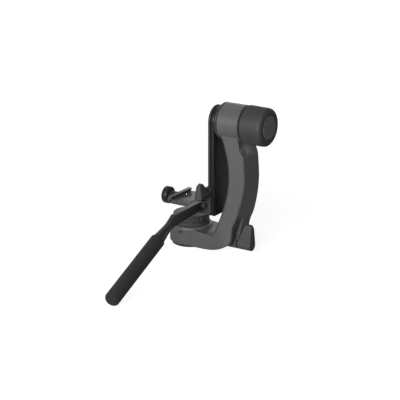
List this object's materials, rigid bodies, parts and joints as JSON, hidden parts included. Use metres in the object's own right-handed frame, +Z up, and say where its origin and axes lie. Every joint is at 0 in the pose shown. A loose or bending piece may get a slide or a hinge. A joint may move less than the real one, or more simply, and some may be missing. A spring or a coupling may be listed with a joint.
{
  "type": "gimbal tripod head",
  "caption": "Gimbal camera head: turning pan base with a curved side arm, tilting slide plate, dovetail clamp on a sliding bracket, big tension knob, wing locks and a bent pan handle.",
  "frame": {"origin": "middle of the underside of the base plate, on the pan axis", "axes": "+Z is up along the pan axis, +X points from the pan axis to the arm and the tilt axis runs along it, -Y points to the user and the pan handle"},
  "size_m": [0.1907, 0.3376, 0.2375],
  "materials": {
    "anodised_alloy": "satin",
    "arm_alloy": "satin",
    "dark_alloy": "satin",
    "knob_rubber": "matte",
    "grip_foam": "matte",
    "wing_plastic": "satin",
    "friction_plastic": "matte",
    "plain_steel": "satin",
    "bearing_steel": "gloss",
    "black_steel": "satin",
    "bright_screw": "polished",
    "brass": "satin",
    "spring_steel": "gloss"
  },
  "bodies": {
    "base": {"base_plate": "dark_alloy", "thread_insert": "plain_steel", "base_screws": "black_steel", "pan_spindle": "plain_steel", "spindle_nut": "brass", "spring_washers": "spring_steel", "clutch_disc": "friction_plastic", "thrust_washer": "friction_plastic"},
    "arm": {"arm": "arm_alloy", "pan_bearings": "bearing_steel", "brake_shoe": "friction_plastic", "set_screws": "black_steel", "dial_seat_ring": "anodised_alloy", "tilt_bearings": "bearing_steel", "bearing_spacer": "plain_steel", "tilt_end_ring": "anodised_alloy", "friction_disc": "friction_plastic"},
    "pan_dial": {"pan_dial": "anodised_alloy", "pan_dial_cap": "dark_alloy"},
    "pan_lock": {"pan_lock_knob": "wing_plastic", "pan_lock_screw": "plain_steel"},
    "tilt": {"tilt_shaft": "plain_steel", "tilt_flange": "dark_alloy", "knob_washer": "black_steel", "slide_rail": "anodised_alloy", "swing_plate": "dark_alloy", "flange_screws": "black_steel", "rail_screws": "black_steel", "stop_pins": "plain_steel"},
    "tilt_knob": {"tilt_knob": "knob_rubber", "tilt_knob_insert": "brass", "tilt_knob_disc": "dark_alloy"},
    "bracket": {"slide_bracket": "anodised_alloy", "clamp_body": "anodised_alloy", "foot_screws": "black_steel", "slide_gib": "brass", "floor_screw": "bright_screw", "handle_bar": "anodised_alloy", "handle_grip": "grip_foam", "handle_bolt": "black_steel", "handle_washer": "black_steel"},
    "slide_lock": {"slide_lock_knob": "wing_plastic", "slide_lock_screw": "plain_steel"},
    "jaw": {"moving_jaw": "anodised_alloy", "guide_pins": "plain_steel"},
    "clamp_knob": {"clamp_knob": "dark_alloy", "clamp_collar": "dark_alloy", "clamp_screw": "plain_steel"}
  },
  "joints": [
    {"name": "pan", "type": "hinge", "parent": "base", "child": "arm", "pos_m": [0, 0, 0.02], "axis": [0, 0, 1], "continuous": true},
    {"name": "pan_drag_dial", "type": "hinge", "parent": "arm", "child": "pan_dial", "pos_m": [0, 0, 0.044], "axis": [0, 0, 1], "range_deg": [-90, 180]},
    {"name": "pan_lock_turn", "type": "hinge", "parent": "arm", "child": "pan_lock", "pos_m": [0.1, 0, 0.0132], "axis": [1, 0, 0], "range_deg": [-75, 75]},
    {"name": "tilt", "type": "hinge", "parent": "arm", "child": "tilt", "pos_m": [0.08, 0, 0.2073], "axis": [1, 0, 0], "range_deg": [-120, 25]},
    {"name": "tilt_knob_turn", "type": "hinge", "parent": "tilt", "child": "tilt_knob", "pos_m": [0.12, 0, 0.2073], "axis": [1, 0, 0], "range_deg": [-180, 360]},
    {"name": "height_slide", "type": "slide", "parent": "tilt", "child": "bracket", "axis": [0, 0, 1], "range_m": [0, 0.1]},
    {"name": "slide_lock_turn", "type": "hinge", "parent": "bracket", "child": "slide_lock", "pos_m": [0.0469, -0.04, 0.0948], "axis": [0, -1, 0], "range_deg": [-75, 75]},
    {"name": "jaw_slide", "type": "slide", "parent": "bracket", "child": "jaw", "axis": [-1, 0, 0], "range_m": [0, 0.005]},
    {"name": "clamp_knob_turn", "type": "hinge", "parent": "jaw", "child": "clamp_knob", "pos_m": [-0.03, 0, 0.0698], "axis": [-1, 0, 0], "range_deg": [0, 1440]}
  ],
  "couplings": [
    {"joint": "clamp_knob_turn", "follows": "jaw_slide", "rad_per_m": 5026.5}
  ]
}
